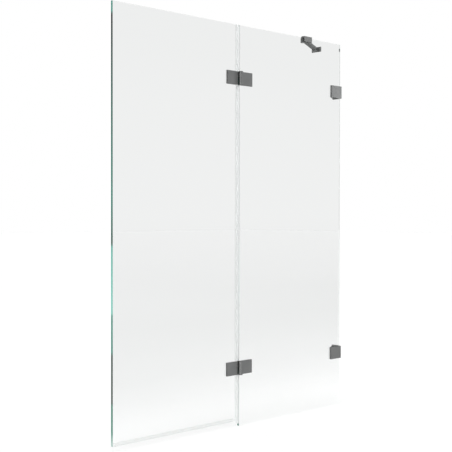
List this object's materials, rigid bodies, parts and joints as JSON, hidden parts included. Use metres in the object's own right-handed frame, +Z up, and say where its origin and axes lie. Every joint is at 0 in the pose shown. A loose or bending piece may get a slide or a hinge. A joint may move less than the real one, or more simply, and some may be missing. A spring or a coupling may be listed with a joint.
{
  "type": "bath screen",
  "caption": "Frameless glass bath screen: a wall-fixed panel braced by a stay arm at its top edge, and a panel that swings out on barrel hinges, with clear seals.",
  "frame": {"origin": "middle of the fixed glass's bottom edge, on the bath rim", "axes": "+X along the glass to the wall, +Y from the room into the bath, +Z up"},
  "size_m": [1.186, 0.1758, 1.5066],
  "materials": {
    "clear_glass": "clear toughened glass, polished green edges",
    "plated_metal": "satin grey plating",
    "bare_steel": "bare stainless steel",
    "clear_seal": "clear flexible plastic",
    "soft_fin": "soft milky plastic",
    "gasket": "soft grey plastic sheet",
    "black_rubber": "black rubber sheet",
    "white_nylon": "natural nylon"
  },
  "bodies": {
    "fixed_screen": {"bracket_back_gaskets": "gasket", "bracket_cover_lower": "plated_metal", "bracket_cover_upper": "plated_metal", "bracket_front_gaskets": "gasket", "bracket_screws": "bare_steel", "bracket_sleeves": "white_nylon", "fixed_glass": "clear_glass", "hinge_bottom_cap_lower": "plated_metal", "hinge_bottom_cap_upper": "plated_metal", "hinge_fixed_back_gaskets": "gasket", "hinge_fixed_back_plate_lower": "plated_metal", "hinge_fixed_back_plate_upper": "plated_metal", "hinge_fixed_front_gaskets": "gasket", "hinge_fixed_leaf_lower": "plated_metal", "hinge_fixed_leaf_upper": "plated_metal", "hinge_fixed_screws": "bare_steel", "hinge_fixed_sleeves": "white_nylon", "hinge_pin_lower": "bare_steel", "hinge_pin_upper": "bare_steel", "hinge_washer_lower": "plated_metal", "hinge_washer_upper": "plated_metal", "stay_arm_screw": "bare_steel", "stay_arm_washer": "white_nylon", "stay_clamp": "plated_metal", "stay_clamp_liner": "black_rubber", "stay_clamp_screws": "bare_steel", "wall_bracket_lower": "plated_metal", "wall_bracket_upper": "plated_metal"},
    "swing_panel": {"bottom_fin": "soft_fin", "bottom_seal": "clear_seal", "centre_fin_bottom": "soft_fin", "centre_fin_middle": "soft_fin", "centre_fin_top": "soft_fin", "centre_seal_bottom": "clear_seal", "centre_seal_middle": "clear_seal", "centre_seal_top": "clear_seal", "hinge_bush_lower": "white_nylon", "hinge_bush_upper": "white_nylon", "hinge_swing_back_gaskets": "gasket", "hinge_swing_back_plate_lower": "plated_metal", "hinge_swing_back_plate_upper": "plated_metal", "hinge_swing_front_gaskets": "gasket", "hinge_swing_leaf_lower": "plated_metal", "hinge_swing_leaf_upper": "plated_metal", "hinge_swing_screws": "bare_steel", "hinge_swing_sleeves": "white_nylon", "hinge_top_cap_lower": "plated_metal", "hinge_top_cap_upper": "plated_metal", "swing_glass": "clear_glass"},
    "stay_arm": {"stay_arm": "plated_metal"},
    "stay_foot": {"stay_foot": "plated_metal", "stay_foot_screw": "bare_steel", "stay_foot_washer": "white_nylon"}
  },
  "joints": [
    {"name": "panel_swing", "type": "hinge", "parent": "fixed_screen", "child": "swing_panel", "pos_m": [-0.2985, -0.0162, 0], "axis": [0, 0, 1], "range_deg": [0, 180]},
    {"name": "stay_arm_swivel", "type": "hinge", "parent": "fixed_screen", "child": "stay_arm", "pos_m": [0.0906, 0.0205, 1.5], "axis": [0, 0, 1], "range_deg": [-18, 60]},
    {"name": "stay_foot_swivel", "type": "hinge", "parent": "stay_arm", "child": "stay_foot", "pos_m": [0.2852, 0.1276, 1.5], "axis": [0, 0, 1], "range_deg": [-60, 20]}
  ]
}
